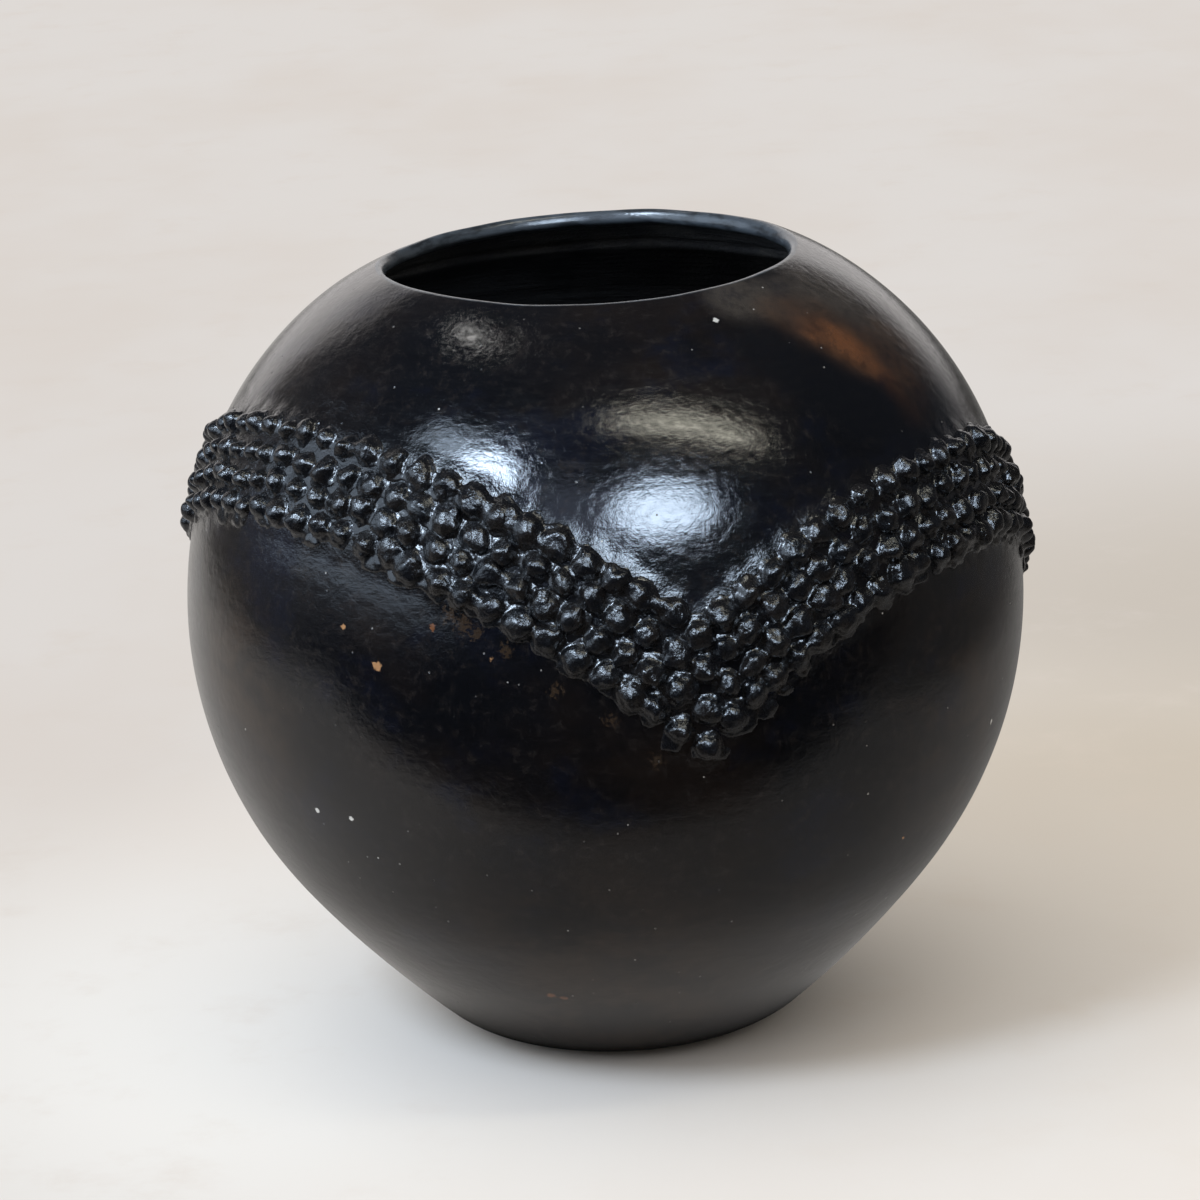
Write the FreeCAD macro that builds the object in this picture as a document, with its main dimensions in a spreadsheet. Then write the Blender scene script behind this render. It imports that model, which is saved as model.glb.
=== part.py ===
"""Ukhamba: a large coil-built, burnished and blackened clay beer pot.

The pot is modelled as the pieces of clay that the potter joins: a base pad, wall coils that
lap on each other, a rim coil, and rows of small pellets, the amasumpa, laid along three
arches round the shoulder.  Millimetres, +Z up, origin on the axis at the foot.
"""

import FreeCAD, Part
import bisect
import math
import os
import random

import Sketcher
from FreeCAD import Vector

# Driving sizes.  Lengths in millimetres, angles in degrees, counts as whole numbers.
DRIVING_SIZES = (
    # outline: four stations on the outer face, joined by three arcs
    ("foot_radius", 63.0),
    ("flank_top", 65.0),
    ("flank_bulge", 2.4),
    ("belly_radius", 161.0),
    ("belly_height", 168.0),
    ("belly_arc_radius", 168.5),
    ("shoulder_foot", 228.5),
    ("shoulder_bulge", 10.7),
    ("mouth_radius", 77.5),
    ("pot_height", 301.5),
    # clay thicknesses and edges
    ("wall_thickness", 7.0),
    ("floor_thickness", 10.0),
    ("rim_thickness", 6.0),
    ("foot_bevel", 3.5),
    ("lip_bevel", 1.7),
    # how the wall divides into coils, along its outer face
    ("rim_coil_width", 22.0),
    ("flank_coils", 2),
    ("belly_coils", 4),
    ("shoulder_coils", 2),
    ("seam_lap", 4.0),
    # pellets
    ("pellet_width", 10.4),
    ("pellet_rise", 4.8),
    ("pellet_pitch", 11.6),
    ("pellet_gap", 0.2),
    ("pellet_seat", 0.02),
    ("pellet_sides", 6),
    # the garland: azimuth 0 is the front, positive towards +X
    ("valley_height", 176.5),
    ("front_valley", 12.0),
    ("left_sweep", 128.0),
    ("right_sweep", 88.5),
    ("left_rise", 68.5),
    ("right_rise", 45.0),
    ("back_rise", 62.0),
    ("arch_rows", 4),
    ("left_row_pitch", 10.2),
    ("right_row_pitch", 10.5),
    ("back_row_pitch", 9.5),
    ("arch_fullness", 2.3),
)

# Hand wander of the pellets: greatest shift, loss of size, droop in degrees, and shift of a
# corner as a share of a side.
PELLET_WANDER = 0.3
PELLET_SHRINK = 0.08
PELLET_LEAN = 6.0
CORNER_WANDER = 0.12
PELLET_SEED = 7

# A pellet's levels from its seat up: share of its width, share of its rise.
PELLET_LEVELS = ((0.93, 0.0), (1.0, 0.38), (0.52, 1.0))

# At the front valley the right arch draws its rows together to VALLEY_SQUEEZE of their
# pitch, over the first VALLEY_REACH of its sweep.
VALLEY_SQUEEZE = 0.90
VALLEY_REACH = 0.30

# A row's first pellet stands VALLEY_STEP of a pellet's width beyond the valley.
VALLEY_STEP = 0.85

# Pellets shrink away from the front: share of pellet_width along each arch, from its start
# (0) to its end (1).
PELLET_SHARES = {
    "left": ((0.0, 0.74), (0.42, 0.74), (0.66, 1.0), (0.86, 1.02), (1.0, 0.96)),
    "right": ((0.0, 0.97), (0.45, 0.94), (1.0, 0.84)),
    "back": ((0.0, 0.84), (0.50, 0.80), (1.0, 0.74)),
}

FULL_TURN = 360.0
ARCH_STEPS = 400
ARCH_OVERRUN = 0.12

doc = FreeCAD.newDocument("ukhamba")
parts = []


def make_sheet():
    """Write the driving sizes into a spreadsheet, one alias each."""
    sheet = doc.addObject("Spreadsheet::Sheet", "sizes")
    for row, (alias, value) in enumerate(DRIVING_SIZES, start=1):
        sheet.set("A%d" % row, alias)
        sheet.set("B%d" % row, str(value))
        sheet.setAlias("B%d" % row, alias)
    doc.recompute()
    return sheet


sizes = make_sheet()
form = doc.addObject("App::VarSet", "form")


def work_out(name, expression):
    """Keep a length or angle that follows from the driving sizes."""
    form.addProperty("App::PropertyFloat", name)
    form.setExpression(name, expression)


def work_out_belly():
    """The belly arc: its widest point lies at belly_height."""
    work_out("belly_centre_r", "sizes.belly_radius - sizes.belly_arc_radius")
    work_out("belly_centre_z", "sizes.belly_height * 1")
    work_out("belly_arc", "sizes.belly_arc_radius * 1")
    low = "-asin((sizes.belly_height - sizes.flank_top) / sizes.belly_arc_radius)"
    high = "asin((sizes.shoulder_foot - sizes.belly_height) / sizes.belly_arc_radius)"
    work_out("belly_start", low)
    work_out("belly_end", high)


def work_out_arc(name, low_r, low_z, high_r, high_z, bulge):
    """An arc between two points of the outline, from its chord and its bulge."""
    rise = "(%s - %s)" % (high_z, low_z)
    run = "(%s - %s)" % (high_r, low_r)
    chord, lean, inset = ("form.%s_%s" % (name, word) for word in ("chord", "lean", "inset"))
    work_out(name + "_chord", "sqrt(%s^2 + %s^2)" % (run, rise))
    work_out(name + "_lean", "atan2(%s; %s)" % (rise, run))
    work_out(name + "_arc", "%s^2 / (8 * %s) + %s / 2" % (chord, bulge, bulge))
    work_out(name + "_inset", "form.%s_arc - %s" % (name, bulge))
    work_out(name + "_half", "asin(%s / (2 * form.%s_arc))" % (chord, name))
    work_out(name + "_centre_r", "(%s + %s) / 2 - %s * sin(%s)" % (low_r, high_r, inset, lean))
    work_out(name + "_centre_z", "(%s + %s) / 2 + %s * cos(%s)" % (low_z, high_z, inset, lean))
    work_out(name + "_start", "%s - 90 - form.%s_half" % (lean, name))
    work_out(name + "_end", "%s - 90 + form.%s_half" % (lean, name))


def on_arc(arc, angle, depth="0"):
    """Expressions for the radius and height of a point on one of the outline's arcs."""
    reach = "(form.%s_arc - %s)" % (arc, depth)
    radius = "form.%s_centre_r + %s * cos(%s)" % (arc, reach, angle)
    height = "form.%s_centre_z + %s * sin(%s)" % (arc, reach, angle)
    return radius, height


def work_out_point(name, arc, angle, depth="0"):
    """Keep a point of the section as two lengths, NAME_r and NAME_z."""
    radius, height = on_arc(arc, angle, depth)
    work_out(name + "_r", radius)
    work_out(name + "_z", height)


def seam_drop(arc):
    """The angle by which a seam drops from the outer to the inner face."""
    return "sizes.seam_lap / (form.%s_arc - sizes.wall_thickness) * 180 / pi" % arc


def work_out_seam(name, arc, angle):
    """The outer and inner ends of a seam between two coils."""
    work_out(name + "_angle", angle)
    angle = "form.%s_angle" % name
    work_out_point(name + "_out", arc, angle)
    inner_angle = "(%s - %s)" % (angle, seam_drop(arc))
    work_out_point(name + "_in", arc, inner_angle, "sizes.wall_thickness")


def between(arc, low, high, count):
    """Angles that divide a stretch of an arc into equal coils, without its lower end."""
    steps = range(1, count + 1)
    return [(arc, "%s + (%s - %s) * %d / %d" % (low, high, low, i, count)) for i in steps]


def seam_angles():
    """Every seam from the base pad to the rim coil, as an arc and an angle on it.

    The first seam runs into the floor's edge, so that the base pad is one flat pad of clay.
    """
    floor_rise = "(sizes.floor_thickness - form.flank_centre_z)"
    work_out("floor_edge", "asin(%s / (form.flank_arc - sizes.wall_thickness))" % floor_rise)
    pad_seam = "form.floor_edge + " + seam_drop("flank")
    rim_seam = "form.shoulder_end - sizes.rim_coil_width / form.shoulder_arc * 180 / pi"
    flank = between("flank", "(%s)" % pad_seam, "form.flank_end", int(sizes.flank_coils))
    belly = between("belly", "form.belly_start", "form.belly_end", int(sizes.belly_coils))
    shoulder = between("shoulder", "form.shoulder_start", "(%s)" % rim_seam,
                       int(sizes.shoulder_coils))
    # the joins of the arcs are seams too, kept on the belly arc
    flank[-1] = ("belly", "form.belly_start * 1")
    return [("flank", pad_seam)] + flank + belly + shoulder


def work_out_form():
    """All arcs and seams.  Returns the seams' names and the arc of each coil."""
    work_out_belly()
    work_out_point("flank_join", "belly", "form.belly_start")
    work_out_point("shoulder_join", "belly", "form.belly_end")
    work_out_arc("flank", "sizes.foot_radius", "0",
                 "form.flank_join_r", "form.flank_join_z", "sizes.flank_bulge")
    work_out_arc("shoulder", "form.shoulder_join_r", "form.shoulder_join_z",
                 "sizes.mouth_radius", "sizes.pot_height", "sizes.shoulder_bulge")
    work_out("foot_r", "sizes.foot_radius * 1")
    work_out("foot_z", "0")
    work_out_point("lip_out", "shoulder", "form.shoulder_end")
    work_out_point("lip_in", "shoulder", "form.shoulder_end", "sizes.rim_thickness")
    seams = []
    for number, (arc, angle) in enumerate(seam_angles()):
        name = "seam_%d" % number
        work_out_seam(name, arc, angle)
        seams.append(name)
    doc.recompute()
    coil_arcs = ["flank"] * int(sizes.flank_coils)
    coil_arcs += ["belly"] * int(sizes.belly_coils)
    coil_arcs += ["shoulder"] * int(sizes.shoulder_coils)
    return seams, coil_arcs


def value(name):
    """A worked-out length or angle as a plain number."""
    return float(getattr(form, name))


def point(name):
    """A worked-out point of the section, in the sketch's plane."""
    return Vector(value(name + "_r"), value(name + "_z"), 0)


def new_sketch(body, name):
    """A sketch on the body's own upright plane, where X is the radius and Y the height."""
    sketch = body.newObject("Sketcher::SketchObject", name)
    plane = [item for item in body.Origin.OriginFeatures if item.Role == "XZ_Plane"][0]
    sketch.AttachmentSupport = [(plane, "")]
    sketch.MapMode = "FlatFace"
    return sketch


def bind(sketch, constraint, expression):
    """Add a constraint whose value follows an expression."""
    index = sketch.addConstraint(constraint)
    sketch.setExpression("Constraints[%d]" % index, expression)


def pin(sketch, geometry, end, name):
    """Hold an end of a curve at a worked-out point."""
    place = point(name)
    across = Sketcher.Constraint("DistanceX", -1, 1, geometry, end, place.x)
    bind(sketch, across, "form.%s_r" % name)
    up = Sketcher.Constraint("DistanceY", -1, 1, geometry, end, place.y)
    bind(sketch, up, "form.%s_z" % name)


def add_arc(sketch, arc, low, high):
    """The coil's outer edge: a stretch of the outline between two worked-out points."""
    centre = point(arc + "_centre")
    first = point(low) - centre
    last = point(high) - centre
    circle = Part.Circle(centre, Vector(0, 0, 1), value(arc + "_arc"))
    start, end = math.atan2(first.y, first.x), math.atan2(last.y, last.x)
    index = sketch.addGeometry(Part.ArcOfCircle(circle, start, end))
    pin(sketch, index, 1, low)
    pin(sketch, index, 2, high)
    bind(sketch, Sketcher.Constraint("Radius", index, value(arc + "_arc")), "form.%s_arc" % arc)
    return index


def add_line(sketch, start, end):
    """A straight edge, whose ends are held by what it joins."""
    return sketch.addGeometry(Part.LineSegment(start, end))


def join(sketch, first, first_end, second, second_end):
    """Make the ends of two edges meet."""
    sketch.addConstraint(Sketcher.Constraint("Coincident", first, first_end, second, second_end))


def revolve(body, sketch):
    """Turn a section about the pot's axis."""
    turned = body.newObject("PartDesign::Revolution", body.Name + "_turned")
    turned.Profile = sketch
    turned.ReferenceAxis = (sketch, ["V_Axis"])
    turned.Angle = FULL_TURN
    sketch.Visibility = False
    doc.recompute()
    return turned


def new_body(name):
    """A body that becomes one of the pot's pieces."""
    body = doc.addObject("PartDesign::Body", name)
    body.Label = name
    parts.append(body)
    return body


def circles_at(shape, places):
    """Names of the shape's round edges that pass through the given points of the section."""
    names = []
    for number, edge in enumerate(shape.Edges, start=1):
        if not isinstance(edge.Curve, Part.Circle):
            continue
        for radius, height in places:
            same_height = abs(edge.Curve.Center.z - height) < 0.001
            if same_height and abs(edge.Curve.Radius - radius) < 0.001:
                names.append("Edge%d" % number)
    return names


def bevel_edges(body, base, places, size):
    """Take off the edges that pass through the given points of the section."""
    bevelled = body.newObject("PartDesign::Chamfer", body.Name + "_bevelled")
    bevelled.Base = (base, circles_at(base.Shape, places))
    bevelled.setExpression("Size", size)
    doc.recompute()


def make_base_pad(seam):
    """The pad of clay that the pot stands on.  The first coil laps on its sloping edge."""
    body = new_body("base_pad")
    sketch = new_sketch(body, "base_pad_section")
    floor_middle = Vector(0, point(seam + "_in").y, 0)
    side = add_arc(sketch, "flank", "foot", seam + "_out")
    lap = add_line(sketch, point(seam + "_out"), point(seam + "_in"))
    floor = add_line(sketch, point(seam + "_in"), floor_middle)
    axis = add_line(sketch, floor_middle, Vector(0, 0, 0))
    under = add_line(sketch, Vector(0, 0, 0), point("foot"))
    for first, second in ((side, lap), (lap, floor), (floor, axis), (axis, under), (under, side)):
        join(sketch, first, 2, second, 1)
    join(sketch, axis, 2, -1, 1)
    pin(sketch, floor, 1, seam + "_in")
    sketch.addConstraint(Sketcher.Constraint("Vertical", axis))
    sketch.addConstraint(Sketcher.Constraint("Horizontal", floor))
    turned = revolve(body, sketch)
    bevel_edges(body, turned, [(value("foot_r"), 0.0)], "sizes.foot_bevel")


def make_ring(name, arc, low_out, low_in, high_out, high_in):
    """A ring of clay: round outer face, straight seams and a flat-wiped inner face."""
    body = new_body(name)
    sketch = new_sketch(body, name + "_section")
    side = add_arc(sketch, arc, low_out, high_out)
    top = add_line(sketch, point(high_out), point(high_in))
    inside = add_line(sketch, point(high_in), point(low_in))
    bottom = add_line(sketch, point(low_in), point(low_out))
    join(sketch, side, 2, top, 1)
    join(sketch, top, 2, inside, 1)
    join(sketch, inside, 2, bottom, 1)
    join(sketch, bottom, 2, side, 1)
    pin(sketch, inside, 1, high_in)
    pin(sketch, inside, 2, low_in)
    return body, revolve(body, sketch)


def make_rim_coil(seam):
    """The last coil, drawn in to the mouth, its two lip edges wiped off by the fingers."""
    body, turned = make_ring("rim_coil", "shoulder", seam + "_out", seam + "_in",
                             "lip_out", "lip_in")
    lip_edges = [(point(name).x, point(name).y) for name in ("lip_out", "lip_in")]
    bevel_edges(body, turned, lip_edges, "sizes.lip_bevel")


def wall_at(height):
    """Radius of the outer face at a height, and the slope of the face's outward normal."""
    arc = "belly"
    if height > value("shoulder_join_z"):
        arc = "shoulder"
    if height < value("flank_join_z"):
        arc = "flank"
    reach = value(arc + "_arc")
    up = (height - value(arc + "_centre_z")) / reach
    out = math.sqrt(max(0.0, 1.0 - up * up))
    return value(arc + "_centre_r") + reach * out, out, up


def on_wall(azimuth, height):
    """A point of the outer face and the outward normal there."""
    radius, out, up = wall_at(height)
    turn = math.radians(azimuth)
    outward = Vector(math.sin(turn), -math.cos(turn), 0)
    return outward * radius + Vector(0, 0, height), outward * out + Vector(0, 0, up)


def arch_height(start, sweep, rise, azimuth):
    """Height of an arch's middle line.  Past its ends it runs straight on."""
    share = (azimuth - start) / sweep
    fullness = float(sizes.arch_fullness)
    if share < 0.0 or share > 1.0:
        beyond = -share if share < 0.0 else share - 1.0
        return float(sizes.valley_height) - rise * 2.0 * fullness * beyond
    return float(sizes.valley_height) + rise * (1.0 - abs(2.0 * share - 1.0) ** fullness)


def arch_line(start, sweep, rise):
    """The middle line of an arch: lengths along it, azimuths, heights, places, normals."""
    stations = []
    length = 0.0
    for step in range(ARCH_STEPS + 1):
        share = (1.0 + 2.0 * ARCH_OVERRUN) * step / ARCH_STEPS - ARCH_OVERRUN
        azimuth = start + sweep * share
        height = arch_height(start, sweep, rise, azimuth)
        place, normal = on_wall(azimuth, height)
        if stations:
            length += (place - stations[-1][3]).Length
        stations.append((length, azimuth, height, place, normal))
    return stations


def along_arch(line, distance):
    """Azimuth and height at a distance along the arch, and the direction up across it."""
    index = bisect.bisect([station[0] for station in line], distance)
    index = min(max(index, 1), len(line) - 1)
    before, after = line[index - 1], line[index]
    share = (distance - before[0]) / (after[0] - before[0])
    azimuth = before[1] + (after[1] - before[1]) * share
    height = before[2] + (after[2] - before[2]) * share
    run = (after[3] - before[3]).normalize()
    cross = before[4].cross(run).normalize()
    if cross.z < 0:
        cross = -cross
    return azimuth, height, cross


def value_along(stations, share):
    """A value between the stations of a table."""
    for (low, low_value), (high, high_value) in zip(stations, stations[1:]):
        if share <= high:
            share = max(low, share)
            return low_value + (high_value - low_value) * (share - low) / (high - low)
    return stations[-1][1]


def row_offset(arch, row, azimuth):
    """How far a row's line lies above the arch's middle line."""
    offset = ((arch["rows"] - 1) / 2.0 - row) * arch["row_pitch"]
    if not arch["squeeze"]:
        return offset
    share = (azimuth - arch["start"]) / arch["sweep"]
    near_valley = min(1.0, max(0.0, 1.0 - share / VALLEY_REACH))
    return offset * (1.0 - (1.0 - VALLEY_SQUEEZE) * near_valley)


def on_row(arch, row, distance, aside=0.0):
    """Azimuth and height of a point of a row's line, or of one a little aside of it."""
    azimuth, height, cross = along_arch(arch["line"], distance)
    offset = row_offset(arch, row, azimuth) + aside
    turn = math.radians(azimuth)
    sideways = Vector(math.cos(turn), math.sin(turn), 0)
    shift = math.degrees(cross.dot(sideways) * offset / wall_at(height)[0])
    return azimuth + shift, height + cross.z * offset


def row_spots(arch, row):
    """Places of one row's pellets: azimuth, height and share of pellet_width.

    A row starts just beyond the valley before it and ends on the valley after it.
    """
    pitch = float(sizes.pellet_pitch)
    step = VALLEY_STEP * float(sizes.pellet_width) / float(sizes.belly_radius)
    first_place = arch["start"] + math.degrees(step)
    last_place = arch["start"] + arch["sweep"]
    inside = []
    for station in arch["line"]:
        azimuth = on_row(arch, row, station[0])[0]
        if first_place <= azimuth <= last_place:
            inside.append(station[0])
    low, high = inside[0], inside[-1]
    count = max(1, round((high - low) / pitch))
    spots = []
    for number in range(count + 1):
        distance = low + (high - low) * number / count
        distance += random.uniform(-PELLET_WANDER, PELLET_WANDER)
        aside = random.uniform(-PELLET_WANDER, PELLET_WANDER)
        azimuth, height = on_row(arch, row, distance, aside)
        share = (azimuth - arch["start"]) / arch["sweep"]
        spots.append((azimuth, height, value_along(arch["shares"], share)))
    return spots


def pellet_rows():
    """Every row of the garland, by node name."""
    front = float(sizes.front_valley)
    left_sweep, right_sweep = float(sizes.left_sweep), float(sizes.right_sweep)
    back_sweep = FULL_TURN - left_sweep - right_sweep
    arches = (
        ("left", front - left_sweep, left_sweep, sizes.left_rise, False),
        ("right", front, right_sweep, sizes.right_rise, True),
        ("back", front + right_sweep, back_sweep, sizes.back_rise, False),
    )
    rows = {}
    for name, start, sweep, rise, squeeze in arches:
        arch = {
            "start": start,
            "sweep": sweep,
            "squeeze": squeeze,
            "shares": PELLET_SHARES[name],
            "rows": int(sizes.arch_rows),
            "row_pitch": float(getattr(sizes, name + "_row_pitch")),
            "line": arch_line(start, sweep, float(rise)),
        }
        for row in range(arch["rows"]):
            rows["amasumpa_%s_row_%d" % (name, row + 1)] = row_spots(arch, row)
    return rows


def pellet_radii(rows):
    """Half widths that leave pellet_gap between each pellet and its nearest neighbour."""
    spots = [spot for row in rows.values() for spot in row]
    places = [on_wall(azimuth, height)[0] for azimuth, height, _ in spots]
    gap = float(sizes.pellet_gap)
    radii = []
    for index, place in enumerate(places):
        wanted = float(sizes.pellet_width) / 2.0 * spots[index][2]
        nearest = min((place - other).Length for at, other in enumerate(places) if at != index)
        radii.append(min(wanted, (nearest - gap) / 2.0))
    return radii


def make_pellet(azimuth, height, radius):
    """One pellet: an uneven dome with flat facets, seated on the wall's tangent plane."""
    foot, normal = on_wall(azimuth, height)
    turn = math.radians(azimuth)
    right = Vector(math.cos(turn), math.sin(turn), 0)
    up = normal.cross(right)
    if up.z < 0:
        up = -up
    foot = foot + normal * float(sizes.pellet_seat)
    sides = int(sizes.pellet_sides)
    start = random.uniform(0.0, FULL_TURN)
    outline = []
    for number in range(sides):
        wander = random.uniform(-CORNER_WANDER, CORNER_WANDER)
        angle = math.radians(start + (number + wander) * FULL_TURN / sides)
        reach = radius * random.uniform(1.0 - PELLET_SHRINK, 1.0)
        outline.append(right * (math.cos(angle) * reach) + up * (math.sin(angle) * reach))
    rise = float(sizes.pellet_rise) * random.uniform(1.0 - PELLET_SHRINK, 1.0)
    lean = math.tan(math.radians(random.uniform(0.0, PELLET_LEAN))) * rise
    rings = []
    for width, level in PELLET_LEVELS:
        middle = foot + normal * (rise * level) - up * (lean * level)
        rings.append([middle + corner * width for corner in outline])
    faces = [Part.Face(Part.makePolygon(ring + ring[:1])) for ring in (rings[0], rings[-1])]
    for lower, upper in zip(rings, rings[1:]):
        for number in range(sides):
            after = (number + 1) % sides
            corners = [lower[number], lower[after], upper[after], upper[number], lower[number]]
            faces.append(Part.Face(Part.makePolygon(corners)))
    solid = Part.Solid(Part.Shell(faces))
    if solid.Volume < 0:
        solid.reverse()
    return solid


def make_pellet_rows():
    """The amasumpa, one node for each row of each arch."""
    random.seed(PELLET_SEED)
    rows = pellet_rows()
    radii = pellet_radii(rows)
    index = 0
    for name, spots in rows.items():
        pellets = []
        for azimuth, height, _ in spots:
            pellets.append(make_pellet(azimuth, height, radii[index]))
            index += 1
        row = doc.addObject("Part::Feature", name)
        row.Label = name
        row.Shape = Part.makeCompound(pellets)
        parts.append(row)
    return index


def make_pot():
    """Base pad, wall coils, rim coil and garland."""
    seams, coil_arcs = work_out_form()
    make_base_pad(seams[0])
    for number, arc in enumerate(coil_arcs):
        low, high = seams[number], seams[number + 1]
        make_ring("wall_coil_%d" % (number + 1), arc, low + "_out", low + "_in",
                  high + "_out", high + "_in")
    make_rim_coil(seams[-1])
    return make_pellet_rows()


def check_and_export():
    """Stop on any failed object, then write each piece to its own file."""
    doc.recompute()
    for item in doc.Objects:
        if "Invalid" in item.State or "Error" in item.State:
            raise RuntimeError("%s failed: %s" % (item.Name, item.State))
    for piece in parts:
        if piece.Shape.isNull() or not piece.Shape.isValid():
            raise RuntimeError("%s has no valid shape" % piece.Label)
    os.makedirs("parts", exist_ok=True)
    for piece in parts:
        piece.Shape.exportStep("parts/%s.step" % piece.Label)


pellet_count = make_pot()
check_and_export()
print("pieces:", len(parts), "pellets:", pellet_count)
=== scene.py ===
"""Looks of the ukhamba beer pot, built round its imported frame.  Metres, +Z up, front is -Y."""
import math
import random

import bpy
import numpy as np
from mathutils import Matrix, Vector, kdtree, noise


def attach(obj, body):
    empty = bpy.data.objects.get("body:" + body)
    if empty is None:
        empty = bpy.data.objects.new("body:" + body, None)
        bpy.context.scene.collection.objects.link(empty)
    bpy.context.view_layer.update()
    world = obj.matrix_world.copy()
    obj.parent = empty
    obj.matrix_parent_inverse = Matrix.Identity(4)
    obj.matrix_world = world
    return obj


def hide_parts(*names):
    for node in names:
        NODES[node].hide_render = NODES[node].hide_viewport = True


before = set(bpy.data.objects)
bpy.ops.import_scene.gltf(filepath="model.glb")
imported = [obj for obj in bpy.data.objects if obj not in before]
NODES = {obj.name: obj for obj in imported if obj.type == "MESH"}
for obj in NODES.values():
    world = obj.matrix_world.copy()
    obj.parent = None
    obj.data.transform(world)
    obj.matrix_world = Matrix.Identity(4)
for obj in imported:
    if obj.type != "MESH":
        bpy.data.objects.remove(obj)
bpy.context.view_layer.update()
ROW_NODES = sorted(name for name in NODES if name.startswith("amasumpa"))
WALL_NODES = sorted(name for name in NODES if not name.startswith("amasumpa"))

# The section of the pot, as in the part's source.
FOOT_R = 0.063
FLANK_TOP = 0.065
FLANK_BULGE = 0.0024
BELLY_R = 0.161
BELLY_Z = 0.168
BELLY_ARC = 0.1685
SHOULDER_Z = 0.2285
SHOULDER_BULGE = 0.0107
MOUTH_R = 0.0775
HEIGHT = 0.3015
WALL = 0.0068
RIM = 0.0060
FLOOR_Z = 0.010

# Its softened edges: foot and hollow, lip outside and inside, edge of the inner floor
FOOT_TURN = 0.0140
FOOT_HOLLOW = 0.0008
LIP_TURN = 0.0026
LIP_TURN_IN = 0.0022
MOUTH_TURN = 0.0028
FLOOR_FILLET = 0.016

# Grid of the skin
STEP = 0.0021
AROUND = 420
UNROLL_R = 0.130
POLE = 1e-6

# Camera, fitted to the outline in the photograph
ELEVATION = 17.48
DISTANCE = 1.92
ROLL = 3.05
LENS = 148.3
TARGET_Z = 0.1357
AIM_UP = 0.0278
AIM_RIGHT = -0.0036


def smooth(low, high, x):
    """Smooth step from 0 at low to 1 at high."""
    t = np.clip((x - low) / (high - low), 0.0, 1.0)
    return t * t * (3.0 - 2.0 * t)


# --- the outline ------------------------------------------------------------------------------

def arc_by_bulge(low, high, bulge):
    """Centre and radius of an arc between two points of the section."""
    run, rise = high[0] - low[0], high[1] - low[1]
    chord = math.hypot(run, rise)
    radius = chord * chord / (8.0 * bulge) + bulge / 2.0
    inset = radius - bulge
    mid = ((low[0] + high[0]) / 2.0, (low[1] + high[1]) / 2.0)
    return (mid[0] - inset * rise / chord, mid[1] + inset * run / chord), radius


def outline():
    """Points of the outer face from the foot to the lip, close together."""
    belly = (BELLY_R - BELLY_ARC, BELLY_Z)
    low_r = belly[0] + math.sqrt(BELLY_ARC ** 2 - (FLANK_TOP - BELLY_Z) ** 2)
    high_r = belly[0] + math.sqrt(BELLY_ARC ** 2 - (SHOULDER_Z - BELLY_Z) ** 2)
    stations = ((FOOT_R, 0.0), (low_r, FLANK_TOP), (high_r, SHOULDER_Z), (MOUTH_R, HEIGHT))
    arcs = (arc_by_bulge(stations[0], stations[1], FLANK_BULGE), (belly, BELLY_ARC),
            arc_by_bulge(stations[2], stations[3], SHOULDER_BULGE))
    points = []
    for (centre, radius), low, high in zip(arcs, stations, stations[1:]):
        start = math.atan2(low[1] - centre[1], low[0] - centre[0])
        end = math.atan2(high[1] - centre[1], high[0] - centre[0])
        for angle in np.linspace(start, end, 200)[bool(points):]:
            points.append((centre[0] + radius * math.cos(angle),
                           centre[1] + radius * math.sin(angle)))
    return np.array(points)


OUT = outline()
OUT_S = np.concatenate([[0.0], np.cumsum(np.hypot(*np.diff(OUT, axis=0).T))])
_tangent = np.gradient(OUT, OUT_S, axis=0)
_tangent /= np.linalg.norm(_tangent, axis=1)[:, None]
OUT_N = np.stack([_tangent[:, 1], -_tangent[:, 0]], axis=1)
LENGTH = OUT_S[-1]


def at_length(s):
    """Point and outward normal of the outline at a length from the foot."""
    point = np.array([np.interp(s, OUT_S, OUT[:, k]) for k in (0, 1)])
    normal = np.array([np.interp(s, OUT_S, OUT_N[:, k]) for k in (0, 1)])
    return point, normal / np.linalg.norm(normal)


def length_at(z):
    """Length from the foot at a height of the outer face."""
    return float(np.interp(z, OUT[:, 1], OUT_S))


def bend(first, corner, last, count):
    """A rounded corner: points between first and last, both included."""
    t = np.linspace(0.0, 1.0, count)[:, None]
    return (1 - t) ** 2 * first + 2 * t * (1 - t) * corner + t ** 2 * last


UNDER, OUTER, LIP, INNER = 0, 1, 2, 3


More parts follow.
